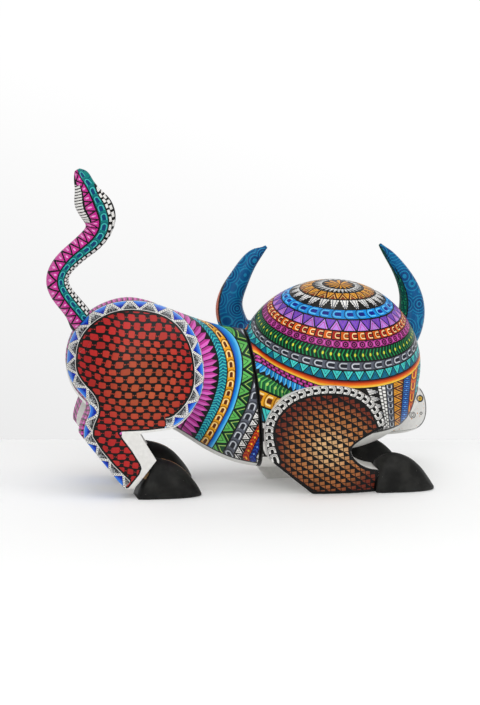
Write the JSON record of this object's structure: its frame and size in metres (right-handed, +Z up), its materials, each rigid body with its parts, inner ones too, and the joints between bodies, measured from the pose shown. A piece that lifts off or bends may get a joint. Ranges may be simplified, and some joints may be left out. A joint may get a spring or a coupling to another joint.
{
  "type": "painted wooden bull figure",
  "caption": "Carved and painted wooden bull bowing on its front knees with its tail up and its head turned; horns, ears and tail pull out of pegged sockets.",
  "frame": {"origin": "on the floor, under the middle of the bounding box", "axes": "+X towards the bull's front, +Y to its left, +Z up"},
  "size_m": [0.3171, 0.1776, 0.2591],
  "materials": {
    "torso_paint": "satin painted bands",
    "head_paint": "satin painted rings",
    "rear_leg_paint": "satin painted scales",
    "front_leg_paint": "satin painted weave",
    "hoof_paint": "matte black paint",
    "horn_paint": "satin painted rings",
    "ear_paint": "satin white paint",
    "tail_paint": "satin painted faces",
    "bare_wood": "bare turned wood"
  },
  "bodies": {
    "carving": {"torso": "torso_paint", "head": "head_paint", "rear_right_leg": "rear_leg_paint", "rear_left_leg": "rear_leg_paint", "front_right_leg": "front_leg_paint", "front_left_leg": "front_leg_paint", "rear_right_hoof": "hoof_paint", "rear_left_hoof": "hoof_paint", "front_right_hoof": "hoof_paint", "front_left_hoof": "hoof_paint", "neck_dowel": "bare_wood", "leg_dowels": "bare_wood", "hoof_dowels": "bare_wood"},
    "left_horn": {"left_horn": "horn_paint", "left_horn_peg": "bare_wood"},
    "right_horn": {"right_horn": "horn_paint", "right_horn_peg": "bare_wood"},
    "left_ear": {"left_ear": "ear_paint", "left_ear_peg": "bare_wood"},
    "right_ear": {"right_ear": "ear_paint", "right_ear_peg": "bare_wood"},
    "tail": {"tail": "tail_paint", "tail_peg": "bare_wood"}
  },
  "joints": [
    {"name": "left_horn_pull", "type": "slide", "parent": "carving", "child": "left_horn", "axis": [-0.8509, 0.4505, 0.2703], "range_m": [0, 0.02]},
    {"name": "right_horn_pull", "type": "slide", "parent": "carving", "child": "right_horn", "axis": [0.8515, 0.3606, 0.3807], "range_m": [0, 0.02]},
    {"name": "left_ear_pull", "type": "slide", "parent": "carving", "child": "left_ear", "axis": [-0.5024, 0.8641, -0.0301], "range_m": [0, 0.012]},
    {"name": "right_ear_pull", "type": "slide", "parent": "carving", "child": "right_ear", "axis": [0.5, 0.45, 0.74], "range_m": [0, 0.012]},
    {"name": "tail_pull", "type": "slide", "parent": "carving", "child": "tail", "axis": [-0.6, 0, 0.8], "range_m": [0, 0.024]}
  ]
}
